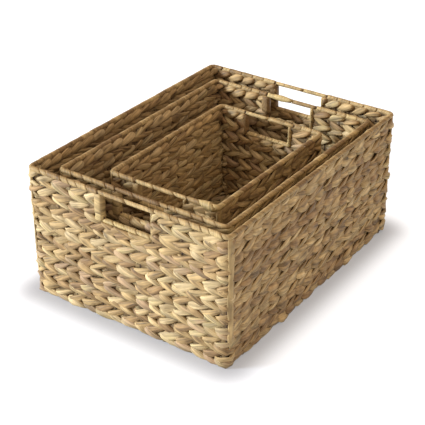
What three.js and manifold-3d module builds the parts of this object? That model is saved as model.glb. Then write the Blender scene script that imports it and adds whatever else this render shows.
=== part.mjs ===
// Nested set of three rectangular laundry baskets, woven from flat plant strand on welded wire frames.
// Millimetres, +Z up. X runs across the baskets, Y along them, and the large basket stands on z = 0.
// Each smaller basket stands on the floor of the next one and lifts straight out.

import * as THREE from 'three';
import { mergeVertices } from 'three/addons/utils/BufferGeometryUtils.js';
import Module from 'manifold-3d';

const wasm = await Module();
wasm.setup();

// Driving sizes. Rim heights are above the ground, with all three baskets nested. A smaller basket has room to
// move about in the next one, so place is how far off the large basket's centre it stands.
const baskets = [
  {
    name: 'large', length: 551, width: 417, rim: 250, place: [0, 0],
    holeWidth: 97, holeHeight: 41, holeShift: 5,
  },
  {
    name: 'medium', length: 475, width: 351, rim: 242, place: [5, -3],
    holeWidth: 90, holeHeight: 37, holeShift: 4,
  },
  {
    name: 'small', length: 348, width: 233, rim: 225, place: [1, -1],
    holeWidth: 89, holeHeight: 30, holeShift: -2,
  },
];

const air = 0.4; // gap left between neighbouring pieces
const wallThickness = 12; // two twined strands around a stake
const floorThickness = 12;
const strapThickness = 2.3;
const strapStart = 40; // the corner straps tuck into the weave this far above the underside
const cornerRadius = 14; // outside of a corner strap
const stakeSpacing = 28;
const stakeRadius = 1.2;
const frameRadius = 2.5; // corner posts and rim hoop, and half the side of the square base hoop
const holeWireRadius = 2.1;
const holeCornerRadius = 9; // centre line of the wire around a hand hole
const rimBindingRadius = 5;
const gripRadius = 3.6; // over a hand hole only one layer of strand covers the rim's wire
const holeBindingRadius = 4.7;
const rimInset = 6; // from the outside of the basket to the centre line of the rim
const wallInset = strapThickness + air;
const meshInset = wallInset + wallThickness / 2; // to the plane that the stakes stand in
const frameHeight = floorThickness / 2; // of the base hoop and the floor wires, above the basket's base
const octagonSide = Math.tan(Math.PI / 8);
const curveSegments = 1; // a rounded corner takes twice as many steps

const strand = new THREE.MeshStandardMaterial({ color: 0xb39c6c, roughness: 0.8, metalness: 0 });
const paleStrand = new THREE.MeshStandardMaterial({ color: 0xd2bd8c, roughness: 0.7, metalness: 0 });
const wire = new THREE.MeshStandardMaterial({ color: 0x4b4843, roughness: 0.45, metalness: 0.9 });

function addPiece(group, name, solid, material) {
  const found = solid.getMesh();
  const geometry = new THREE.BufferGeometry();
  geometry.setAttribute('position', new THREE.BufferAttribute(found.vertProperties, 3));
  geometry.setIndex(new THREE.BufferAttribute(found.triVerts, 1));
  geometry.computeVertexNormals();
  const mesh = new THREE.Mesh(geometry, material);
  mesh.name = name;
  group.add(mesh);
}

function solidOf(geometry) {
  geometry.deleteAttribute('normal');
  geometry.deleteAttribute('uv');
  const merged = mergeVertices(geometry, 1e-4);
  return new wasm.Manifold(new wasm.Mesh({
    numProp: 3,
    vertProperties: merged.attributes.position.array,
    triVerts: Uint32Array.from(merged.index.array),
  }));
}

function block(low, high) {
  const size = high.map((value, axis) => value - low[axis]);
  const middle = high.map((value, axis) => (value + low[axis]) / 2);
  return solidOf(new THREE.BoxGeometry(...size).translate(...middle));
}

// A straight rod with a square or eight-sided section, between two points.
function rod(start, end, radius, sides = 4) {
  const from = new THREE.Vector3(...start);
  const along = new THREE.Vector3(...end).sub(from);
  const outer = radius / Math.cos(Math.PI / sides);
  const geometry = new THREE.CylinderGeometry(outer, outer, along.length(), sides);
  geometry.rotateY(Math.PI / sides);
  geometry.translate(0, along.length() / 2, 0);
  const up = new THREE.Vector3(0, 1, 0);
  geometry.applyQuaternion(new THREE.Quaternion().setFromUnitVectors(up, along.normalize()));
  return solidOf(geometry.translate(from.x, from.y, from.z));
}

function roundedRectangle(target, halfWidth, halfHeight, radius) {
  const x = halfWidth - radius;
  const y = halfHeight - radius;
  const quarter = Math.PI / 2;
  target.absarc(x, y, radius, 0, quarter);
  target.absarc(-x, y, radius, quarter, 2 * quarter);
  target.absarc(-x, -y, radius, 2 * quarter, 3 * quarter);
  target.absarc(x, -y, radius, 3 * quarter, 4 * quarter);
  target.closePath();
  return target;
}

// A closed hoop of bar in the XY plane: a rounded rectangle whose section is an octagon or a square.
function hoop(halfWidth, halfLength, radius, section, isSquare = false) {
  const flat = isSquare ? section : section * octagonSide;
  const outline = roundedRectangle(new THREE.Shape(), halfWidth + flat, halfLength + flat, radius + flat);
  outline.holes.push(roundedRectangle(new THREE.Path(), halfWidth - flat, halfLength - flat, radius - flat));
  const geometry = new THREE.ExtrudeGeometry(outline, {
    depth: 2 * flat,
    bevelEnabled: !isSquare,
    bevelThickness: section - flat,
    bevelSize: section - flat,
    bevelSegments: 1,
    curveSegments,
  });
  return geometry.translate(0, 0, -flat);
}

// Evenly spaced places between two corner posts, without the posts.
function stakePlaces(halfSpan) {
  const count = Math.round((2 * halfSpan) / stakeSpacing);
  const step = (2 * halfSpan) / count;
  return Array.from({ length: count - 1 }, (unused, index) => -halfSpan + (index + 1) * step);
}

// Everything about one basket that several of its pieces need.
function measure(basket, index) {
  const base = index * (floorThickness + air);
  const wallTop = basket.rim - 2 * rimBindingRadius - air;
  return {
    ...basket,
    base,
    wallTop,
    halfWidth: basket.width / 2,
    halfLength: basket.length / 2,
    meshX: basket.width / 2 - meshInset,
    meshY: basket.length / 2 - meshInset,
    rimHeight: basket.rim - rimBindingRadius,
    holeLow: wallTop - basket.holeHeight,
    gripHalf: basket.holeWidth / 2 + 2 * holeBindingRadius,
  };
}

// The rounded outline of a hand hole's wire, binding or notch, as a solid standing across the wall at y = 0.
// It runs up past the rim, so its top edge is always cut away.
function holeOutline(b, section) {
  const halfWidth = b.holeWidth / 2 + holeBindingRadius;
  const low = b.holeLow - holeBindingRadius;
  const halfHeight = (b.rim + 2 * holeCornerRadius - low) / 2;
  const geometry = section > 0
    ? hoop(halfWidth, halfHeight, holeCornerRadius, section)
    : notchGeometry(halfWidth, halfHeight);
  geometry.rotateX(Math.PI / 2);
  return solidOf(geometry.translate(b.holeShift, 0, low + halfHeight));
}

function notchGeometry(halfWidth, halfHeight) {
  const grow = holeBindingRadius + air;
  const radius = holeCornerRadius + grow;
  const outline = roundedRectangle(new THREE.Shape(), halfWidth + grow, halfHeight + grow, radius);
  const depth = 2 * wallThickness;
  const geometry = new THREE.ExtrudeGeometry(outline, { depth, bevelEnabled: false, curveSegments });
  return geometry.translate(0, 0, -depth / 2);
}

// The welded base hoop, posts, stakes and floor wires. With grow it is the room that the weave leaves for them.
function cageSolid(b, grow) {
  const low = b.base + frameHeight;
  const over = grow > 0 ? 2 * rimBindingRadius : 0;
  const top = b.wallTop + over;
  const underHole = b.holeLow - 2 * holeBindingRadius - 2 * air + over;
  const hoopGeometry = hoop(b.meshX, b.meshY, cornerRadius - meshInset, frameRadius + grow, true);
  let cage = solidOf(hoopGeometry.translate(0, 0, low));
  const postShift = (cornerRadius - meshInset) * (1 - Math.SQRT1_2);
  for (const sideX of [-1, 1]) {
    for (const sideY of [-1, 1]) {
      const x = sideX * (b.meshX - postShift);
      const y = sideY * (b.meshY - postShift);
      cage = cage.add(rod([x, y, low], [x, y, top], frameRadius + grow, 8));
    }
  }
  for (const side of [-1, 1]) {
    for (const x of stakePlaces(b.meshX)) {
      const isUnderHole = Math.abs(x - b.holeShift) < b.gripHalf + stakeRadius + 2 * air;
      const y = side * b.meshY;
      cage = cage.add(rod([x, y, low], [x, y, isUnderHole ? underHole : top], stakeRadius + grow));
    }
    for (const y of stakePlaces(b.meshY)) {
      const x = side * b.meshX;
      cage = cage.add(rod([x, y, low], [x, y, top], stakeRadius + grow));
    }
  }
  for (const y of stakePlaces(b.meshY)) {
    cage = cage.add(rod([-b.meshX, y, low], [b.meshX, y, low], stakeRadius + grow));
  }
  return cage;
}

// The front or back wall. It runs round both corners, and the hand hole's notch is cut from its top edge.
function endWall(b, side, room, notch) {
  const halfWidth = b.halfWidth - wallInset;
  const outside = b.halfLength - wallInset;
  const radius = cornerRadius - wallInset;
  const plan = new THREE.Shape();
  plan.moveTo(-halfWidth, wallThickness - outside);
  plan.lineTo(-halfWidth, radius - outside);
  plan.absarc(radius - halfWidth, radius - outside, radius, Math.PI, 1.5 * Math.PI);
  plan.absarc(halfWidth - radius, radius - outside, radius, 1.5 * Math.PI, 2 * Math.PI);
  plan.lineTo(halfWidth, wallThickness - outside);
  plan.closePath();
  const depth = b.wallTop - b.base;
  const geometry = new THREE.ExtrudeGeometry(plan, { depth, bevelEnabled: false, curveSegments });
  geometry.translate(0, 0, b.base);
  let wall = solidOf(geometry);
  if (side > 0) wall = wall.mirror([0, 1, 0]);
  return wall.subtract(notch.translate([0, side * b.meshY, 0])).subtract(room);
}

function sideWall(b, side, room) {
  const outside = b.halfWidth - wallInset;
  const halfLength = b.halfLength - wallInset - wallThickness - air;
  const edges = [side * outside, side * (outside - wallThickness)].sort((a, z) => a - z);
  return block([edges[0], -halfLength, b.base], [edges[1], halfLength, b.wallTop]).subtract(room);
}

function floorPlate(b, room) {
  const halfWidth = b.halfWidth - wallInset - wallThickness - air;
  const halfLength = b.halfLength - wallInset - wallThickness - air;
  const low = [-halfWidth, -halfLength, b.base];
  return block(low, [halfWidth, halfLength, b.base + floorThickness]).subtract(room);
}

function rimHoop(b, section) {
  const geometry = hoop(b.halfWidth - rimInset, b.halfLength - rimInset, cornerRadius - rimInset, section);
  return solidOf(geometry.translate(0, 0, b.rimHeight));
}

// The part of the wrapped rim that x limits keep, from one hand hole round the basket to the other.
function rimBinding(b, lowX, highX) {
  const sleeve = rimHoop(b, rimBindingRadius).subtract(rimHoop(b, frameRadius + air));
  return sleeve.intersect(block([lowX, -b.length, 0], [highX, b.length, 2 * b.rim]));
}

function grip(b, side) {
  const y = side * (b.halfLength - rimInset);
  const start = [b.holeShift - b.gripHalf, y, b.rimHeight];
  const end = [b.holeShift + b.gripHalf, y, b.rimHeight];
  const bore = rod([start[0] - 1, y, b.rimHeight], [end[0] + 1, y, b.rimHeight], frameRadius + air, 8);
  return rod(start, end, gripRadius, 8).subtract(bore);
}

function cornerStrap(b, turn) {
  const outline = new THREE.Shape();
  const edge = Math.PI / 11;
  outline.absarc(0, 0, cornerRadius, edge, Math.PI / 2 - edge);
  outline.absarc(0, 0, cornerRadius - strapThickness, Math.PI / 2 - edge, edge, true);
  outline.closePath();
  const depth = b.wallTop - b.base - strapStart;
  const geometry = new THREE.ExtrudeGeometry(outline, { depth, bevelEnabled: false, curveSegments });
  geometry.rotateZ((turn * Math.PI) / 2);
  const sideX = turn === 0 || turn === 3 ? 1 : -1;
  const sideY = turn < 2 ? 1 : -1;
  const x = sideX * (b.halfWidth - cornerRadius);
  const y = sideY * (b.halfLength - cornerRadius);
  return solidOf(geometry.translate(x, y, b.base + strapStart));
}

function makeBasket(basket, index) {
  const b = measure(basket, index);
  const group = new THREE.Group();
  const add = (piece, solid, material) => addPiece(group, `${b.name}_${piece}`, solid, material);
  const room = cageSolid(b, air);
  const notch = holeOutline(b, 0);
  const belowRim = block([-b.width, -wallThickness, 0], [b.width, wallThickness, b.wallTop]);
  const holeWire = holeOutline(b, holeWireRadius).intersect(belowRim);
  const holeSleeve = holeOutline(b, holeBindingRadius).subtract(holeOutline(b, holeWireRadius + air));
  const holeBinding = holeSleeve.intersect(belowRim);

  add('wire_cage', cageSolid(b, 0), wire);
  add('rim_wire', rimHoop(b, frameRadius), wire);
  add('floor', floorPlate(b, room), strand);
  for (const [end, side] of [['front', -1], ['back', 1]]) {
    const place = [0, side * b.meshY, 0];
    add(`${end}_wall`, endWall(b, side, room, notch), strand);
    add(`${end}_grip`, grip(b, side), paleStrand);
    add(`${end}_hole_wire`, holeWire.translate(place), wire);
    add(`${end}_hole_binding`, holeBinding.translate(place), paleStrand);
  }
  add('left_wall', sideWall(b, -1, room), strand);
  add('right_wall', sideWall(b, 1, room), strand);
  add('rim_binding_left', rimBinding(b, -b.width, b.holeShift - b.gripHalf - air), paleStrand);
  add('rim_binding_right', rimBinding(b, b.holeShift + b.gripHalf + air, b.width), paleStrand);
  ['back_right', 'back_left', 'front_left', 'front_right'].forEach((corner, turn) => {
    add(`${corner}_strap`, cornerStrap(b, turn), paleStrand);
  });
  group.position.set(...b.place, 0);
  return group;
}

const set = new THREE.Group();
set.add(...baskets.map(makeBasket));

export default set;
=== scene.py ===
"""Three nested laundry baskets, twined from dried water hyacinth on wire frames.

Metres, +Z up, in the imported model's frame. X runs across the baskets and Y along them.
A wall is drawn flat first, as (along, up, out): along runs left to right seen from outside the basket,
and out points away from the wall's middle plane. Then it is laid round the basket.
"""

import math

import bpy
import numpy as np
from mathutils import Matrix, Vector


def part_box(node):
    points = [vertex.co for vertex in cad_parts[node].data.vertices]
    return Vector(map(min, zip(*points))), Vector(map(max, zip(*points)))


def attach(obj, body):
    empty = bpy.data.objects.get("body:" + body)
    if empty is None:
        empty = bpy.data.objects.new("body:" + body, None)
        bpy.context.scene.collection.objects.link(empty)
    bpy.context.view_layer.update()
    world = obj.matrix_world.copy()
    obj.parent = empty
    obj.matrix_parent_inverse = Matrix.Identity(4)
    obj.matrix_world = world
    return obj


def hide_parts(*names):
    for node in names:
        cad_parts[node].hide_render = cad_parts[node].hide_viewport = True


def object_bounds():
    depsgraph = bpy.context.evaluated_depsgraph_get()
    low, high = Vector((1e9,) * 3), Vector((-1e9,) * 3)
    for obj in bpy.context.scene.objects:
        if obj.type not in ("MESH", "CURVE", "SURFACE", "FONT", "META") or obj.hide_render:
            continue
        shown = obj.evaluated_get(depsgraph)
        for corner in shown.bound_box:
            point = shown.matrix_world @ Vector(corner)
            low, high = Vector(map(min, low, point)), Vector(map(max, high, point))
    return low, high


MM = 0.001
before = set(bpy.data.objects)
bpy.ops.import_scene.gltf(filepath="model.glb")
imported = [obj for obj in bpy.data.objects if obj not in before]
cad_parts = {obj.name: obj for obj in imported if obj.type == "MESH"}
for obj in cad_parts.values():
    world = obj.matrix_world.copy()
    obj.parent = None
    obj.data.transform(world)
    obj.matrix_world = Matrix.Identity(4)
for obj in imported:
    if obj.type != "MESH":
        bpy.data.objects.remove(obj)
cad_low, cad_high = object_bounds()
rng = np.random.default_rng(41)

BASKETS = ["large", "medium", "small"]
ROWS = {"large": 18, "medium": 16, "small": 14}  # of twining in a wall

# The frame, and how the weave lies round it.
STAKE_SPACING = 28 * MM
FRAME_WIRE = 2.5 * MM  # radius of the base hoop and the rim wire
CORNER_RADIUS = 14 * MM  # outside of a corner strap
WALL_INSET = 2.7 * MM  # from the outside of a strap to the outside of the wall
WALL_THICKNESS = 12 * MM
RIM_INSET = 6 * MM  # from the outside of a strap to the middle of the rim wire
CORNER_EXTRA = 1.2 * MM  # how much further out a stretch stands at a corner
LAYER_THICKNESS = 1.4 * MM  # of the crossings between a wall's two faces
FLOOR_ROW = 13.4 * MM  # width of a row of the floor
FLOOR_TUCK = 4 * MM  # how far the floor's edge goes in under the foot of the walls

# The rim and the grips.
RIM_OVERLAP = 1.5 * MM  # of the top row with the rim's wrapping
RIM_RADIUS = 4.5 * MM
GRIP_RADIUS = 3.6 * MM
RIM_TURN = 24 * MM  # length of one turn of wrapping along the wire
GRIP_TURN = 45 * MM
SPLICE_REACH = 15 * MM  # how far from a joint in the wrapping it is thicker

# The hand holes. A leg is one side of a hole, left or right as seen from the front.
LEG_CLEARANCE = 23 * MM  # from the last stretch before a hole to the hole
LEFT_LEG_RADIUS = 7.4 * MM
RIGHT_LEG_RADIUS = 3.6 * MM
SILL_RADIUS = 3.6 * MM
LEFT_LEG_TONE = {"front": 0.6, "back": 0.0}

# The corner straps.
STRAP_WIDTH = 16 * MM
STRAP_THICKNESS = 4 * MM
STRAP_STANDS_OUT = 6.0 * MM  # from the wall's middle plane
STRAP_SHIFTS = [-1 * MM, 7 * MM, 3 * MM, -4 * MM]  # round from each corner's middle


# ---------------------------------------------------------------- finishes


def shade(red, green, blue):
    """A colour as it is seen, 0 to 255, as linear light."""
    parts = [value / 255 for value in (red, green, blue)]
    return [p / 12.92 if p <= 0.04045 else ((p + 0.055) / 1.055) ** 2.4 for p in parts] + [1.0]


class Signal:
    """A socket in a node tree. Arithmetic on it adds Math nodes."""

    def __init__(self, nodes, socket):
        self.nodes = nodes
        self.socket = socket

    def _math(self, operation, first, second):
        return self.nodes.node("ShaderNodeMath", {"operation": operation}, {0: first, 1: second})

    def __add__(self, other):
        return self._math("ADD", self, other)

    def __sub__(self, other):
        return self._math("SUBTRACT", self, other)

    def __mul__(self, other):
        return self._math("MULTIPLY", self, other)

    def __radd__(self, other):
        return self._math("ADD", other, self)

    def __rsub__(self, other):
        return self._math("SUBTRACT", other, self)

    def __rmul__(self, other):
        return self._math("MULTIPLY", other, self)


class Nodes:
    """A node tree, and the one method that adds a node to it."""

    def __init__(self, tree):
        self.tree = tree

    def node(self, kind, settings=None, inputs=None, output=0):
        made = self.tree.nodes.new(kind)
        for name, value in (settings or {}).items():
            if name == "stops":
                self.fill_ramp(made.color_ramp, value)
            else:
                setattr(made, name, value)
        for name, value in (inputs or {}).items():
            self.feed(made.inputs[name], value)
        return Signal(self, made.outputs[output])

    def feed(self, socket, value):
        if isinstance(value, Signal):
            self.tree.links.new(value.socket, socket)
        else:
            socket.default_value = value

    @staticmethod
    def fill_ramp(ramp, stops):
        while len(ramp.elements) < len(stops):
            ramp.elements.new(1.0)
        for element, (place, colour) in zip(ramp.elements, stops):
            element.position = place
            element.color = colour


class Finish(Nodes):
    """A material with a Principled shader."""

    def __init__(self, name):
        self.material = bpy.data.materials.new(name)
        self.material.use_nodes = True
        super().__init__(self.material.node_tree)
        self.shader = self.tree.nodes["Principled BSDF"]

    def set(self, **inputs):
        for name, value in inputs.items():
            self.feed(self.shader.inputs[name.replace("_", " ")], value)
        return self.material


# The colours that a strand has, by its tone from 0 to 1.
STRAND_TONES = [
    (0.00, shade(156, 126, 86)),
    (0.14, shade(171, 142, 97)),
    (0.32, shade(184, 156, 107)),
    (0.50, shade(193, 167, 117)),
    (0.68, shade(207, 184, 138)),
    (0.80, shade(193, 173, 122)),
    (0.90, shade(189, 164, 124)),
    (1.00, shade(173, 145, 110)),
]
BINDING_TONES = [
    (0.00, shade(142, 114, 74)),
    (0.35, shade(176, 149, 99)),
    (0.65, shade(197, 171, 119)),
    (1.00, shade(206, 182, 124)),
]


def strand_finish(name, tones, gloss, contrast):
    """Dried hyacinth: long fibres and creases along the strand, with painted shade in their grooves and where
    it tucks in.

    It reads three attributes: fibre is the place on the strand in metres (along, across, a seed of its own),
    tone is from 0 to 1, and the tuck shade is 1 where the strand goes in under its neighbours, for painted
    shade there.
    """
    finish = Finish(name)
    fibre = finish.node("ShaderNodeAttribute", {"attribute_name": "fibre"}, output=1)
    tone = finish.node("ShaderNodeAttribute", {"attribute_name": "tone"}, output=2)
    tuck = finish.node("ShaderNodeAttribute", {"attribute_name": "tuck"}, output=2)

    def streaks(scale, detail):
        stretched = finish.node("ShaderNodeMapping", {}, {"Vector": fibre, "Scale": scale})
        return finish.node("ShaderNodeTexNoise", {}, {"Vector": stretched, "Scale": 1.0, "Detail": detail})

    fine = streaks((60, 1100, 40), 2.0)
    crease = streaks((20, 330, 40), 2.0)
    blotch = streaks((55, 90, 40), 2.0)
    tint = finish.node("ShaderNodeValToRGB", {"stops": tones}, {0: tone + (blotch - 0.5) * 0.5})
    # Fibre streaks and blotches are the strand's own colour. Where fibres and creases dip, the strand is
    # painted darker as shade in their grooves. Where it tucks in, it is painted darker as shade under its
    # neighbours.
    light = ((fine * 0.7 + crease * 1.9 + blotch * 0.6 - 1.6) * contrast + 0.70) * (1 - tuck * 0.72)
    grey = finish.node("ShaderNodeCombineColor", {}, {0: light, 1: light, 2: light})
    mix = {"data_type": "RGBA", "blend_type": "MULTIPLY"}
    colour = finish.node("ShaderNodeMix", mix, {0: 1.0, 6: tint, 7: grey}, output=2)
    relief = fine * 0.35 + crease
    bump = finish.node("ShaderNodeBump", {}, {"Height": relief, "Strength": 0.7, "Distance": 0.0013})
    rough = gloss + crease * 0.3
    return finish.set(Base_Color=colour, Roughness=rough, Normal=bump, Specular_IOR_Level=0.3)


def wire_finish():
    """Bare dark iron wire, with a few brown spots."""
    finish = Finish("dark_iron_wire")
    place = finish.node("ShaderNodeTexCoord", output=3)
    spots = finish.node("ShaderNodeTexNoise", {}, {"Vector": place, "Scale": 160.0, "Detail": 3.0})
    stops = [(0.35, shade(62, 58, 54)), (0.62, shade(84, 60, 42))]
    colour = finish.node("ShaderNodeValToRGB", {"stops": stops}, {0: spots})
    return finish.set(Base_Color=colour, Roughness=0.4 + spots * 0.25, Metallic=0.8)


woven = strand_finish("woven_hyacinth", STRAND_TONES, gloss=0.5, contrast=0.85)
bound = strand_finish("binding_hyacinth", BINDING_TONES, gloss=0.45, contrast=0.6)
wire = wire_finish()


# ---------------------------------------------------------------- patterns and routes


def finished(name, body, node_names, material):
    """Names a piece and says what it rides on, replaces and takes its finish from."""
    body.name = name
    body.data.materials.clear()
    body.data.materials.append(material)
    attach(body, name.split("_")[0] + "_basket")
    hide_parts(*node_names)


def ball_pattern(segments, rings):
    """A unit ball with its poles on X, which every stretch and turn starts from.

    Returns each vertex's latitude, -1 to 1 from pole to pole, its angle round X, and the faces.
    """
    bpy.ops.object.select_all(action="DESELECT")
    bpy.ops.mesh.primitive_uv_sphere_add(segments=segments, ring_count=rings, radius=1)
    ball = bpy.context.object
    bpy.ops.object.mode_set(mode="EDIT")
    bpy.ops.mesh.select_all(action="SELECT")
    bpy.ops.transform.rotate(value=math.pi / 2, orient_axis="Y", center_override=(0, 0, 0))
    bpy.ops.object.mode_set(mode="OBJECT")
    points = np.array([v.co for v in ball.data.vertices])
    faces = [list(f.vertices) for f in ball.data.polygons]
    bpy.data.objects.remove(ball)
    latitude = np.arcsin(np.clip(points[:, 0], -1, 1)) / (math.pi / 2)
    return latitude, np.arctan2(points[:, 1], points[:, 2]), faces


def build_mesh(name, points, faces, **attributes):
    """One mesh of many copies of a pattern. points is (copies, vertices, 3)."""
    copies, count, _ = points.shape
    mesh = bpy.data.meshes.new(name)
    all_faces = [[v + copy * count for v in face] for copy in range(copies) for face in faces]
    mesh.from_pydata(points.reshape(-1, 3).tolist(), [], all_faces)
    for key, values in attributes.items():
        kind, field = ("FLOAT_VECTOR", "vector") if values.ndim == 3 else ("FLOAT", "value")
        made = mesh.attributes.new(key, kind, "POINT")
        made.data.foreach_set(field, values.astype(np.float32).ravel())
    mesh.shade_smooth()
    mesh.update()
    made_object = bpy.data.objects.new(name, mesh)
    bpy.context.collection.objects.link(made_object)
    return made_object


class Loop:
    """A rounded rectangle seen from above, walked left to right as seen from outside it.

    It starts in the middle of the front left corner.
    """

    def __init__(self, centre, half_x, half_y, radius):
        self.centre, self.half_x, self.half_y, self.radius = centre, half_x, half_y, radius
        self.quarter = radius * math.pi / 2
        self.runs = [2 * (half_x - radius), 2 * (half_y - radius)] * 2
        self.length = sum(self.runs) + 4 * self.quarter

    def corner(self, index):
        """How far along the middle of a corner is."""
        return sum(self.runs[:index]) + index * self.quarter

    def post(self, index):
        """Where the straight walls beside a corner would meet, measured back from the wall after it."""
        return self.corner(index) + self.quarter / 2 - self.radius

    def frame_at(self, along):
        """Points on the loop and the way out from it, as arrays."""
        along = np.mod(np.asarray(along) + self.quarter / 2, self.length)
        x, y = np.zeros_like(along), np.zeros_like(along)
        out_x, out_y = np.zeros_like(along), np.zeros_like(along)
        start = 0.0
        centres = [(-1, -1), (1, -1), (1, 1), (-1, 1)]
        for side, (sign_x, sign_y) in enumerate(centres):
            heading = side * math.pi / 2
            turned = along - start
            in_arc = (turned >= 0) & (turned < self.quarter)
            angle = heading - math.pi + np.clip(turned, 0, self.quarter) / self.radius
            centre_x, centre_y = sign_x * (self.half_x - self.radius), sign_y * (self.half_y - self.radius)
            start += self.quarter
            run = along - start
            in_run = (run >= 0) & (run < self.runs[side])
            out_angle = np.where(in_arc, angle, heading - math.pi / 2)
            here = in_arc | in_run
            advance = np.where(in_run, run, 0)
            out_x = np.where(here, np.cos(out_angle), out_x)
            out_y = np.where(here, np.sin(out_angle), out_y)
            x = np.where(here, centre_x + self.radius * np.cos(out_angle) + advance * math.cos(heading), x)
            y = np.where(here, centre_y + self.radius * np.sin(out_angle) + advance * math.sin(heading), y)
            start += self.runs[side]
        return x + self.centre[0], y + self.centre[1], out_x, out_y

    def lay(self, along, up, out):
        """Flat wall coordinates to places round the basket."""
        x, y, out_x, out_y = self.frame_at(along)
        return np.stack([x + out_x * out, y + out_y * out, up], axis=-1)


def waves(count, size, shortest):
    """Slow seeded unevenness over a wall, as a function of (along, up)."""
    ways = rng.uniform(0, 2 * math.pi, count)
    lengths = rng.uniform(shortest, 3 * shortest, count)
    starts = rng.uniform(0, 2 * math.pi, count)

    def height(along, up):
        total = 0
        for way, length, start in zip(ways, lengths, starts):
            distance = along * math.cos(way) + up * math.sin(way)
            total = total + np.sin(distance / length * 2 * math.pi + start)
        return total * size / math.sqrt(count)

    return height


# ---------------------------------------------------------------- twined strands

TURN_RINGS = 7
LAST_RING = 1 - 2 / TURN_RINGS  # latitude of the ring nearest a pole, where a turn of wrapping ends
LEAF = ball_pattern(10, 8)
TURN = ball_pattern(10, TURN_RINGS)

MIDDLE_TONE = 0.45

# How a stretch of strand lies over its stake:
# head and tail: how far it reaches before and after the stake, in stake spacings
# wide and thick: half its width and thickness at its fullest
# stands and dips: its middle and its ends, out from the wall's middle plane and past it
# climb: from its middle to its end, up or down
# variety: of tone, and of the painted shade where it tucks in
# inside: its size on the inside face, against the outside
# outer tone: the middle of the tones on the outside face, set darker on the long walls as painted shade
END_WALL = {
    "head": 0.60, "tail": 0.93, "wide": 7.4 * MM, "thick": 3.9 * MM,
    "stands": 3.9 * MM, "dips": 3.2 * MM, "climb": 6.3 * MM,
    "variety": 1.0, "inside": 0.94, "outer_tone_and_painted_shade": MIDDLE_TONE,
}
# The long walls' outsides take a darker middle tone: painted shade, as on a side turned from the light.
LONG_WALL = {
    "head": 0.80, "tail": 1.0, "wide": 9.2 * MM, "thick": 2.8 * MM,
    "stands": 2.5 * MM, "dips": 1.0 * MM, "climb": 4.6 * MM,
    "variety": 0.55, "inside": 0.84, "outer_tone_and_painted_shade": 0.24,
}
FLOOR_WEAVE = {
    "head": 0.68, "tail": 0.96, "wide": 7.8 * MM, "thick": 2.7 * MM,
    "stands": 2.8 * MM, "dips": 1.8 * MM, "climb": 5.8 * MM,
    "variety": 0.8, "inside": 1.0, "outer_tone_and_painted_shade": MIDDLE_TONE,
}
INSIDE_PAINTED_SHADE = 0.8  # of the painted shade where a stretch tucks in, on the inside faces
LEAN = 0.58  # under 1 puts the fullest place nearer the head than the tail
STEEPEST = 0.9  # that a stretch may dive, out over along
FAR = 10.0  # a limit in metres that nothing reaches


def scatter(count, spread):
    """One seeded number for each stretch, around 0."""
    return rng.normal(0, spread, (count, 1)).clip(-2.2 * spread, 2.2 * spread)


def squarer(wave, power):
    """A sine or cosine made fuller, so that a round section gets flatter faces."""
    return np.sign(wave) * np.abs(wave) ** power


def swell(place, power):
    """How full a stretch is, 0 to 1, from its head at -1 to its tail at 1."""
    return np.sin(math.pi * ((place + 1) / 2).clip(0, 1) ** LEAN).clip(0) ** power


def directions(spine, place):
    """Unit vectors out from the wall and across a spine's curve, both square to the way it runs."""
    near = 0.04
    ahead = spine((place + near).clip(-1, 1)) - spine((place - near).clip(-1, 1))
    steepest = STEEPEST * np.abs(ahead[..., 0])
    ahead[..., 2] = ahead[..., 2].clip(-steepest, steepest)
    ahead /= np.linalg.norm(ahead, axis=-1, keepdims=True)
    out = np.zeros_like(ahead)
    out[..., 2] = 1
    out = out - (out * ahead).sum(-1, keepdims=True) * ahead
    out /= np.linalg.norm(out, axis=-1, keepdims=True)
    return out, np.cross(out, ahead)


def painted_shade_tucked_in(place, angle):
    """How much painted shade a stretch gets where it goes in under its neighbours: at its tail, its head and
    its back.
    """
    toward_tail = ((place - 0.25) / 0.75).clip(0, 1) ** 2
    toward_head = ((-0.88 - place) / 0.12).clip(0, 1)
    at_back = np.cos(angle) < -0.3
    return (0.75 * toward_tail + 0.5 * toward_head + 0.5 * at_back).clip(0, 1)


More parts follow.
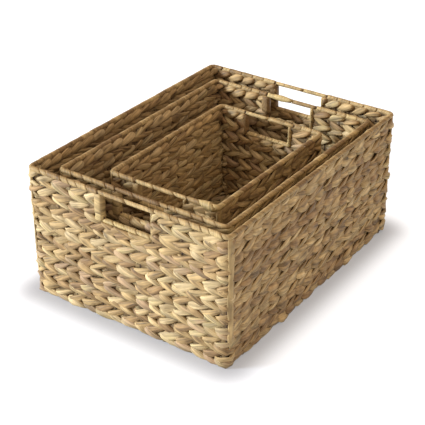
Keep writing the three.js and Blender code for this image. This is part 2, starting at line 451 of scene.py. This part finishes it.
def twine(places, lay, spacing, lie):
    """Lays leaf-shaped stretches of strand, each over one stake, from a blunt head to a tapered tail.

    places has a row for each stretch: along, up, slant (1 rises to the right), side (1 outside, -1 inside),
    the least and most that along may be, the most that up may be, its tone, and how much further out it
    stands.
    """
    latitude, angle, faces = LEAF
    count = len(places)
    along_c, up_c, slant, side, least, most, ceiling, tone, extra = np.split(places, 9, axis=1)
    is_inside = side < 0
    head = lie["head"] * spacing * (1 + scatter(count, 0.10))
    tail = lie["tail"] * spacing * (1 + scatter(count, 0.08))
    scale = np.where(is_inside, lie["inside"], 1.0)
    reach, middle = scale * (head + tail) / 2, (tail - head) / 2
    climb = slant * side * lie["climb"] * (1 + scatter(count, 0.20))
    stands = lie["stands"] + scatter(count, 0.6 * MM) + extra
    bow = scatter(count, 1.4 * MM)

    def spine(place):
        up = climb * np.sin(place * math.pi / 2) + bow * (1 - place ** 2)
        out = (stands + lie["dips"]) * swell(place, 0.75) - lie["dips"]
        return np.stack([middle + reach * place, up, out], axis=-1)

    # Where each ring of the pattern is, from head to tail, and how far the section rolls over there.
    place = np.sin(latitude * math.pi / 2)[None, :]
    out, across = directions(spine, place)
    roll = (slant * side * (0.55 * place * np.abs(place) - 0.10) + scatter(count, 0.16))[..., None]
    out, across = out * np.cos(roll) + across * np.sin(roll), across * np.cos(roll) - out * np.sin(roll)

    # The section round the spine, with one long fold and small dents.
    wide = scale * lie["wide"] * (1 + scatter(count, 0.16)) * swell(place, 0.55)
    thick = lie["thick"] * (1 + scatter(count, 0.13)) * swell(place, 0.5)
    fold_at = rng.uniform(-1.3, 1.3, (count, 1))
    fold = 1 - rng.uniform(0, 0.34, (count, 1)) * np.exp(-(((angle[None, :] - fold_at) / 0.45) ** 2))
    dents = fold * (1 + rng.normal(0, 0.045, (count, len(latitude))))
    sideways = (wide * squarer(np.sin(angle), 0.8) * dents)[..., None]
    outwards = (thick * squarer(np.cos(angle), 0.75) * dents)[..., None]
    flat_place = spine(place) + sideways * across + outwards * out

    # Each stretch at its own stake, a little off its place.
    along = (along_c + scatter(count, 1.9 * MM) + flat_place[..., 0]).clip(least, most)
    up = np.minimum(up_c + scatter(count, 1.1 * MM) + flat_place[..., 1], ceiling)
    points = lay(along, up, side * flat_place[..., 2])

    every = np.zeros_like(up)
    seed = rng.uniform(0, 9, (count, 1))
    fibre = np.stack([reach * place + every, angle * 6 * MM + every, seed + every], axis=-1)
    # On the long walls, the outside's darker middle tone is painted shade.
    middle_tone = np.where(is_inside, MIDDLE_TONE, lie["outer_tone_and_painted_shade"])
    tone = middle_tone + ((tone + scatter(count, 0.07)).clip(0, 1) - MIDDLE_TONE) * lie["variety"] + every
    # Painted shade where the stretch goes in under its neighbours.
    tuck = painted_shade_tucked_in(place, angle) * lie["variety"] * np.where(is_inside, INSIDE_PAINTED_SHADE, 1.0) + every
    return points, is_inside.ravel(), faces, fibre, tone, tuck


def strand_piece(name, laid, lowest=-FAR, highest=FAR):
    """The mesh of stretches or turns. Those on the inside are mirror images, so their faces are flipped."""
    points, mirrored, faces, fibre, tone, tuck = laid
    points[..., 2] = points[..., 2].clip(lowest, highest)
    body = build_mesh(name, points, faces, fibre=fibre, tone=tone, tuck=tuck)
    if mirrored.any():
        body.data.polygons.foreach_set("select", np.repeat(mirrored, len(faces)))
        bpy.ops.object.select_all(action="DESELECT")
        body.select_set(True)
        bpy.context.view_layer.objects.active = body
        bpy.ops.object.mode_set(mode="EDIT")
        bpy.ops.mesh.flip_normals()
        bpy.ops.object.mode_set(mode="OBJECT")
    return body


# ---------------------------------------------------------------- one basket's measures


class Basket:
    """Sizes of one basket, read from its CAD boxes. x and y are measured from the basket's own centre."""

    def __init__(self, name):
        self.name = name
        cage_low, cage_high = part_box(name + "_wire_cage")
        wall_low, wall_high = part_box(name + "_front_wall")
        rim_low, rim_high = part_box(name + "_rim_wire")
        hole_low, hole_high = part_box(name + "_front_hole_binding")
        self.floor_low, self.floor_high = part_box(name + "_floor")
        self.centre = (cage_low + cage_high) / 2
        self.base, self.wall_top = wall_low[2], wall_high[2]
        self.mesh_x, self.mesh_y, _ = (cage_high - cage_low) / 2 - Vector((FRAME_WIRE, FRAME_WIRE, 0))
        self.rim_x, self.rim_y, _ = (rim_high - rim_low) / 2 - Vector((FRAME_WIRE, FRAME_WIRE, 0))
        self.rim_z = (rim_low[2] + rim_high[2]) / 2
        self.band = (hole_high[1] - hole_low[1]) / 2
        self.leg_left = hole_low[0] + self.band - self.centre[0]
        self.leg_right = hole_high[0] - self.band - self.centre[0]
        self.sill = hole_low[2] + self.band
        middle_radius = CORNER_RADIUS - WALL_INSET - WALL_THICKNESS / 2
        self.middle = Loop(self.centre, self.mesh_x, self.mesh_y, middle_radius)
        self.rim = Loop(self.centre, self.rim_x, self.rim_y, CORNER_RADIUS - RIM_INSET)

    def stakes(self, side):
        """How far round the loop each stake of a wall is. Walls go front, right, back, left."""
        half = self.mesh_x if side % 2 == 0 else self.mesh_y
        count = round(2 * half / STAKE_SPACING)
        step = 2 * half / count
        start = self.middle.post(side)
        return [start + step * (index + 1) for index in range(count - 1)], step

    def across_hole(self, loop, side, half, past=0.0):
        """How far round a loop the hand hole's legs are, or just past them. half is half the wall's width."""
        left, right = self.leg_left - past, self.leg_right + past
        if side == 2:
            left, right = -right, -left
        return loop.post(side) + half + left, loop.post(side) + half + right


def drifting_tones(count):
    """A tone for each stretch along a row. A row is two strands by turns, and each changes slowly."""
    walk = rng.uniform(0, 1, 2)[:, None] + np.cumsum(rng.normal(0, 0.13, (2, count)), axis=1)
    folded = np.abs((walk + 1) % 2 - 1)
    return [folded[index % 2, index] for index in range(count)]


def stops_beside_hole(stakes, step, left):
    """The stops of a row beside the hand hole. Those before it are spaced anew, to end in a whole stretch."""
    last = left - LEG_CLEARANCE
    count = round((last - stakes[0]) / step) + 1
    return [*np.linspace(stakes[0], last, count), *[at for at in stakes if at > left]]


def wall_places(basket, side):
    """Where each stretch of a wall goes. Front and back walls hold the corners and the hand hole."""
    rows = ROWS[basket.name]
    pitch = (basket.wall_top + RIM_OVERLAP - basket.base) / rows
    stakes, step = basket.stakes(side)
    is_end_wall = side % 2 == 0
    if is_end_wall:
        stakes = [basket.middle.corner(side), *stakes, basket.middle.corner(side + 1)]
        left, right = basket.across_hole(basket.middle, side, basket.mesh_x)
    places = []
    for row in range(rows):
        slant = 1 if row % 2 == 1 else -1
        level = basket.base + (row + 0.5) * pitch
        beside_hole = is_end_wall and level > basket.sill - 5 * MM
        stops = stops_beside_hole(stakes, step, left) if beside_hole else stakes
        tones = [drifting_tones(len(stops)), drifting_tones(len(stops))]
        for number, at in enumerate(stops):
            # A row that meets the hand hole stops at both its legs, and one just under it is pressed down.
            up, least, most, ceiling = level, -FAR, FAR, FAR
            at_corner = is_end_wall and number in (0, len(stops) - 1)
            extra = CORNER_EXTRA if at_corner else 0.0
            if beside_hole and left + 4 * MM < at < right - 4 * MM:
                if level > basket.sill + 3 * MM:
                    continue
                up = min(level, basket.sill - 8 * MM)
                ceiling = basket.sill - 1.5 * MM
            elif beside_hole and at < (left + right) / 2:
                most = left
            elif beside_hole:
                least = right
            for face, face_tones in zip((1, -1), tones):
                places.append((at, up, slant, face, least, most, ceiling, face_tones[number], extra))
    return np.array(places), step


def weave_wall(basket, side, wall):
    """Both faces of one wall, stretch by stretch."""
    places, step = wall_places(basket, side)
    bulge, sway, drift = waves(5, 0.7 * MM, 0.09), waves(5, 1.3 * MM, 0.10), waves(5, 2.2 * MM, 0.12)

    def lay(along, up, out):
        return basket.middle.lay(along + drift(along, up), up + sway(along, up), out + bulge(along, up))

    name = f"{basket.name}_{wall}_weave"
    laid = twine(places, lay, step, END_WALL if side % 2 == 0 else LONG_WALL)
    body = strand_piece(name, laid, basket.base + 0.2 * MM, basket.rim_z)
    finished(name, body, [f"{basket.name}_{wall}_wall"], woven)


def give_strand_attributes(piece, fibre, tone, tuck):
    """What the strand finish reads, for a piece that is made one by one."""
    count = len(piece.data.vertices)
    for key, kind, field, values in (
        ("fibre", "FLOAT_VECTOR", "vector", fibre),
        ("tone", "FLOAT", "value", np.full(count, tone)),
        ("tuck", "FLOAT", "value", np.full(count, tuck)),
    ):
        made = piece.data.attributes.new(key, kind, "POINT")
        made.data.foreach_set(field, np.asarray(values, np.float32).ravel())


def new_grid(columns, rows):
    """A flat grid one unit across."""
    bpy.ops.object.select_all(action="DESELECT")
    bpy.ops.mesh.primitive_grid_add(x_subdivisions=columns, y_subdivisions=rows, size=1)
    return bpy.context.object


def grid_places(grid):
    """Where in the grid each vertex is, from 0 to 1 both ways."""
    places = vertex_places(grid) + 0.5
    return places[:, 0], places[:, 1]


def vertex_places(piece):
    return np.array([vertex.co for vertex in piece.data.vertices])


def move_vertices(piece, places):
    for vertex, place in zip(piece.data.vertices, places):
        vertex.co = place


def thicken(sheet, thickness, offset):
    """Gives a sheet a thickness. offset is 0 for both ways from it, and -1 for inwards only."""
    solid = sheet.modifiers.new("thickness", "SOLIDIFY")
    solid.thickness = thickness
    solid.offset = offset
    bpy.ops.object.modifier_apply(modifier="thickness")


def cut_hand_hole(sheet, left, right):
    """Takes the upper faces between two places across a grid out of it."""
    bpy.ops.object.mode_set(mode="EDIT")
    bpy.ops.mesh.select_all(action="DESELECT")
    bpy.ops.object.mode_set(mode="OBJECT")
    for face in sheet.data.polygons:
        place = face.center + Vector((0.5, 0.5, 0))
        face.select = left < place[0] < right and place[1] > 0.5
    bpy.ops.object.mode_set(mode="EDIT")
    bpy.ops.mesh.select_mode(type="FACE")
    bpy.ops.mesh.delete(type="FACE")
    bpy.ops.object.mode_set(mode="OBJECT")


def line_wall(basket, side, wall):
    """The strands' crossings inside a wall, as one thin layer between its two faces, painted dark as the
    shade in the gaps.
    """
    columns = 60
    start, end = basket.middle.corner(side), basket.middle.corner(side + 1)
    top = basket.rim_z - 2 * MM
    sheet = new_grid(columns, 2)
    legs, marks, middle_height = [], [], (basket.base + top) / 2
    if side % 2 == 0:
        legs = basket.across_hole(basket.middle, side, basket.mesh_x)
        marks = [round(columns * (leg - start) / (end - start)) / columns for leg in legs]
        middle_height = basket.sill
        cut_hand_hole(sheet, *marks)
    across, height = grid_places(sheet)
    along = np.interp(across, [0, *marks, 1], [start, *legs, end])
    up = np.interp(height, [0, 0.5, 1], [basket.base + 1 * MM, middle_height, top])
    move_vertices(sheet, basket.middle.lay(along, up, 0 * up))
    thicken(sheet, LAYER_THICKNESS, 0)
    # A dark tone with the tuck shade: the shade in the gaps between the stretches is painted on this layer.
    give_strand_attributes(sheet, vertex_places(sheet), tone=0.2, tuck=0.6)
    finished(f"{basket.name}_{wall}_crossings", sheet, [f"{basket.name}_{wall}_wall"], woven)


def weave_floor(basket):
    """The floor, woven like a wall that lies flat, with its rows running from front to back."""
    low, high = basket.floor_low, basket.floor_high
    rows = round((high[0] - low[0]) / FLOOR_ROW)
    pitch = (high[0] - low[0] + 2 * FLOOR_TUCK) / rows
    count = round(2 * basket.mesh_y / STAKE_SPACING)
    step = 2 * basket.mesh_y / count
    middle = (low[2] + high[2]) / 2
    least, most = low[1] - FLOOR_TUCK, high[1] + FLOOR_TUCK
    places = []
    for row in range(rows):
        across = low[0] - FLOOR_TUCK + (row + 0.5) * pitch
        slant = 1 if row % 2 == 1 else -1
        tones = drifting_tones(count + 1)
        for index in range(count + 1):
            along = basket.centre[1] - basket.mesh_y + step * index
            for face in (1, -1):
                places.append((along, -across, slant, face, least, most, FAR, tones[index], 0.0))

    def lay(along, across, out):
        return np.stack([-across, along, middle + out], axis=-1)

    laid = twine(np.array(places), lay, step, FLOOR_WEAVE)
    name = f"{basket.name}_floor_weave"
    body = strand_piece(name, laid, low[2] + 0.1 * MM, high[2])
    finished(name, body, [f"{basket.name}_floor"], woven)


# ---------------------------------------------------------------- wound strands


def wind(start, end, lay, radius, length, flatten=1.0, skew=5 * MM, splice=None, tone=0.4, power=1.0):
    """Turns of flat strand wound round a wire from start to end of a route.

    lay takes how far along the route and two offsets from it, up and out. length is of one turn, flatten
    scales it in and out, skew is how far a turn slants, and power under 1 makes it squarer. splice is the
    place of a joint in the strand, where the turns are thicker and paler.
    """
    latitude, angle, faces = TURN
    marks = [start]
    while marks[-1] < end - 1.4 * length:
        marks.append(marks[-1] + length * rng.uniform(0.6, 1.4))
    marks = np.array([*marks, end])
    middle, half = (marks[:-1] + marks[1:])[:, None] / 2, np.diff(marks)[:, None] / 2
    count = len(middle)

    # Rings of the pattern along a turn. The end rings stand back a little, where the turns meet.
    rings = (latitude / LAST_RING).clip(-1, 1)[None, :]
    is_pole = np.abs(latitude)[None, :] > 0.99
    is_edge = np.abs(rings) > 0.99
    tucked = np.where(is_edge, 0.975, 1.0 + 0.02 * (1 - rings ** 2))
    size = radius * tucked * (1 + 0.035 * rings) * (1 + scatter(count, 0.03))
    if splice is not None:
        size = size * (1 + 0.6 * np.exp(-(((middle + half * rings - splice) / SPLICE_REACH) ** 2)))
    size = np.where(is_pole, 0, size) * (1 + rng.normal(0, 0.012, (count, len(latitude))))
    tilt = skew * np.cos(angle[None, :] + 0.6)
    along = (middle + half * 1.02 * rings + np.where(is_pole, 0, tilt)).clip(start, end)
    points = lay(along, size * squarer(np.sin(angle), power), size * squarer(np.cos(angle), power) * flatten)

    every = np.zeros_like(size)
    fibre_along = angle * radius + half * rings * 0.6
    fibre_across = half * rings - angle * radius * 0.5
    seed = rng.uniform(0, 9, (count, 1))
    fibre = np.stack([fibre_along, fibre_across, seed + every], axis=-1)
    tones = tone + scatter(count, 0.2)
    if splice is not None:
        tones = np.where(np.abs(middle - splice) < 1.5 * SPLICE_REACH, 1.0, tones)
    # Painted shade at the edges of each turn, where the turns meet.
    tuck = 0.12 * is_edge + every
    return points, np.zeros(count, bool), faces, fibre, (tones + every).clip(0, 1), tuck


def join_laid(*parts):
    """Joins several sets of turns that share one pattern."""
    points, mirrored, faces, fibre, tones, tuck = zip(*parts)
    joined = [np.concatenate(values) for values in (points, mirrored, fibre, tones, tuck)]
    return joined[0], joined[1], faces[0], *joined[2:]


def bind_rim(basket):
    """The rim's two bindings, each from one hand hole round to the other, and the grips between them."""
    def lay(along, up, out):
        return basket.rim.lay(along, basket.rim_z + up, out)

    front_left, front_right = basket.across_hole(basket.rim, 0, basket.rim_x, basket.band)
    back_right, back_left = basket.across_hole(basket.rim, 2, basket.rim_x, basket.band)
    spans = {
        "rim_binding_right": (front_right, back_right),
        "rim_binding_left": (back_left, front_left + basket.rim.length),
        "front_grip": (front_left, front_right),
        "back_grip": (back_right, back_left),
    }
    # Two joints in the strand stand out: at a corner of the small basket, and on a grip of the medium one.
    splices = {
        "small_rim_binding_right": basket.rim.corner(1) - 12 * MM,
        "medium_back_grip": back_left - 0.3 * (back_left - back_right),
    }
    for node, (start, end) in spans.items():
        full_name = f"{basket.name}_{node}"
        radius, length = (GRIP_RADIUS, GRIP_TURN) if "grip" in node else (RIM_RADIUS, RIM_TURN)
        laid = wind(start, end, lay, radius, length, splice=splices.get(full_name))
        body = strand_piece(full_name + "_wrap", laid)
        finished(full_name + "_wrap", body, [full_name], bound)


def bind_hole(basket, side, end):
    """The strand wound round the two sides and the bottom of a hand hole."""
    sign = -1 if side == 0 else 1
    centre_x, centre_y, _ = basket.centre
    y = centre_y + sign * basket.mesh_y
    top = basket.wall_top + 3 * MM

    def leg(x):
        def lay(along, up, out):
            return np.stack([x - sign * up, y + sign * out, top - along], axis=-1)
        return lay

    def sill(along, up, out):
        return np.stack([-sign * along, y + sign * out, basket.sill + up], axis=-1)

    left, right = centre_x + basket.leg_left, centre_x + basket.leg_right
    depth = top - basket.sill
    left_leg = wind(
        0, depth, leg(left - 4.2 * MM), LEFT_LEG_RADIUS, 30 * MM,
        flatten=0.92, skew=2 * MM, tone=LEFT_LEG_TONE[end], power=0.45,
    )
    right_leg = wind(
        0, depth, leg(right - 1 * MM), RIGHT_LEG_RADIUS, 24 * MM, flatten=1.8, skew=2 * MM, tone=0.6
    )
    low, high = sorted((-sign * left, -sign * right))
    bottom = wind(low, high, sill, SILL_RADIUS, 20 * MM, flatten=1.4, tone=0.85)
    name = f"{basket.name}_{end}_hole_wrap"
    body = strand_piece(name, join_laid(left_leg, right_leg, bottom))
    finished(name, body, [f"{basket.name}_{end}_hole_binding"], bound)


def bent_round(distance, loop):
    """A distance round the outside of a corner as one along the loop. Past the arc they are the same."""
    arc = CORNER_RADIUS * math.pi / 4
    inside = distance.clip(-arc, arc)
    return inside * loop.radius / CORNER_RADIUS + (distance - inside)


def strap_corner(basket, index, corner_name):
    """A flat strand down one corner, from the rim to its tuck near the base."""
    node = f"{basket.name}_{corner_name}_strap"
    low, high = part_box(node)
    bottom, top = low[2] - 6 * MM, high[2] + 3 * MM
    strap = new_grid(8, 40)
    place, up = grid_places(strap)
    across = 2 * place - 1
    loop = basket.middle

    # Its edge wanders, its width varies, and its lower tip narrows and goes in.
    wander = 0.8 * MM * np.sin(up * 9 + index) + 0.5 * MM * np.sin(up * 23 + 2 * index)
    tip = np.sqrt((up * 9).clip(0, 1))
    half = STRAP_WIDTH / 2 * (1 + 0.10 * np.sin(up * 14 + index * 1.7)) * (0.25 + 0.75 * tip)
    along = loop.corner(index) + bent_round(STRAP_SHIFTS[index] + wander + across * half, loop)

    # Its face is crowned, with low waves down it and across it.
    crown = 0.8 * MM * (1 - across ** 2)
    ripple = 0.3 * MM * np.sin(up * 55 + index) + 0.2 * MM * np.sin(across * 7 + up * 20)
    out = STRAP_STANDS_OUT * (0.55 + 0.45 * tip) + (crown + ripple)
    move_vertices(strap, loop.lay(along, bottom + up * (top - bottom), out))
    thicken(strap, STRAP_THICKNESS, -1)
    smooth = strap.modifiers.new("round", "SUBSURF")
    smooth.levels = smooth.render_levels = 1
    bpy.ops.object.modifier_apply(modifier="round")
    strap.data.shade_smooth()

    spots = vertex_places(strap)
    around = np.arctan2(spots[:, 1] - basket.centre[1], spots[:, 0] - basket.centre[0]) * basket.mesh_x
    fibre = np.stack([spots[:, 2], around, np.full(len(spots), 3.0 + index)], axis=-1)
    give_strand_attributes(strap, fibre, tone=0.55, tuck=0.0)
    finished(node + "_strand", strap, [node], bound)


def make_basket(name):
    """One basket. Its wires stay the CAD solids, with a wire finish."""
    basket = Basket(name)
    for side, wall in enumerate(["front", "right", "back", "left"]):
        weave_wall(basket, side, wall)
        line_wall(basket, side, wall)
    weave_floor(basket)
    bind_rim(basket)
    bind_hole(basket, 0, "front")
    bind_hole(basket, 2, "back")
    for index, corner in enumerate(["front_left", "front_right", "back_right", "back_left"]):
        strap_corner(basket, index, corner)
    for node in ("wire_cage", "rim_wire", "front_hole_wire", "back_hole_wire"):
        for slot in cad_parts[f"{name}_{node}"].material_slots:
            slot.material = wire


for basket_name in BASKETS:
    make_basket(basket_name)


# ---------------------------------------------------------------- floor, light and camera

SIZE = (cad_high - cad_low)[1]  # the large basket's length
FOOT_ROUNDING = 14 * MM
# A shadow painted on the floor round the basket's foot: how far it reaches, and how much the floor glows
# there and far from it.
PAINTED_SHADOW_REACH = 62 * MM
GLOW_IN_PAINTED_SHADOW, GLOW_FAR = 0.27, 0.86
SKY_LOW, SKY_HIGH = 0.42, 1.1  # strength at the horizon and overhead
SKY_COLOUR = (1.06, 0.84, 0.71, 1)
SUN_COLOUR = (0.97, 1.05, 1.16)
SUN_FROM = Vector((-1.0, -0.85, 0.38))


def lay_ground():
    """A pale floor that glows enough to stay white, and glows less within a hand's width of the basket's
    foot, as a shadow painted round it.
    """
    bpy.ops.object.select_all(action="DESELECT")
    bpy.ops.mesh.primitive_plane_add(size=40 * SIZE, location=(0, 0, 0))
    ground = bpy.context.object
    ground.name = "pale_floor"
    finish = Finish("pale_floor")
    place = finish.node("ShaderNodeTexCoord", output=3)
    nearness = finish.node("ShaderNodeVectorMath", {"operation": "ABSOLUTE"}, {0: place})
    foot = (cad_high[0] - FOOT_ROUNDING, cad_high[1] - FOOT_ROUNDING, 0)
    past = finish.node("ShaderNodeVectorMath", {"operation": "SUBTRACT"}, {0: nearness, 1: foot})
    past = finish.node("ShaderNodeVectorMath", {"operation": "MAXIMUM"}, {0: past, 1: (0, 0, 0)})
    distance = finish.node("ShaderNodeVectorMath", {"operation": "LENGTH"}, {0: past}, output=1)
    # The glow dims toward the foot: a painted shadow.
    painted_shadow_fade = {0: distance, 1: FOOT_ROUNDING, 2: FOOT_ROUNDING + PAINTED_SHADOW_REACH, 3: GLOW_IN_PAINTED_SHADOW, 4: GLOW_FAR}
    glow = finish.node("ShaderNodeMapRange", {"interpolation_type": "SMOOTHSTEP"}, painted_shadow_fade)
    grey, white = (0.28, 0.30, 0.33, 1), (1, 1, 1, 1)
    finish.set(Base_Color=grey, Emission_Color=white, Emission_Strength=glow, Roughness=0.9)
    ground.data.materials.append(finish.material)


def aim(thing, place, target):
    """Puts a light or a camera at a place, facing the target."""
    thing.location = place
    thing.rotation_euler = (target - place).to_track_quat("-Z", "Y").to_euler()


def light_studio():
    """A warm sky that is brighter overhead, and one low sun from the front left."""
    world = bpy.data.worlds.new("soft_studio")
    world.use_nodes = True
    sky = Nodes(world.node_tree)
    background = sky.tree.nodes["Background"]
    way = sky.node("ShaderNodeTexCoord")
    height = sky.node("ShaderNodeSeparateXYZ", {}, {0: way}, output=2)
    glow = sky.node("ShaderNodeMapRange", {}, {0: height, "To Min": SKY_LOW, "To Max": SKY_HIGH})
    sky.feed(background.inputs["Color"], SKY_COLOUR)
    sky.feed(background.inputs["Strength"], glow)
    bpy.context.scene.world = world
    bpy.context.scene.view_settings.view_transform = "Standard"
    sun = bpy.data.lights.new("key", "SUN")
    sun.energy = 4.9
    sun.color = SUN_COLOUR
    sun.angle = math.radians(14)
    holder = bpy.data.objects.new("key", sun)
    bpy.context.collection.objects.link(holder)
    aim(holder, SUN_FROM, Vector((0, 0, 0)))


def set_camera():
    """Three quarters from the front right, looking down at the set."""
    azimuth, elevation, reach = math.radians(34.84), math.radians(29.81), 3.726 * SIZE
    target = Vector((-0.0066, -0.0290, 0.1881)) * SIZE
    back = Vector((
        math.sin(azimuth) * math.cos(elevation),
        -math.cos(azimuth) * math.cos(elevation),
        math.sin(elevation),
    ))
    lens = bpy.data.cameras.new("camera")
    lens.lens = 95.6
    lens.sensor_width = 36
    camera = bpy.data.objects.new("camera", lens)
    bpy.context.collection.objects.link(camera)
    aim(camera, target + back * reach, target)
    bpy.context.scene.camera = camera


lay_ground()
light_studio()
set_camera()
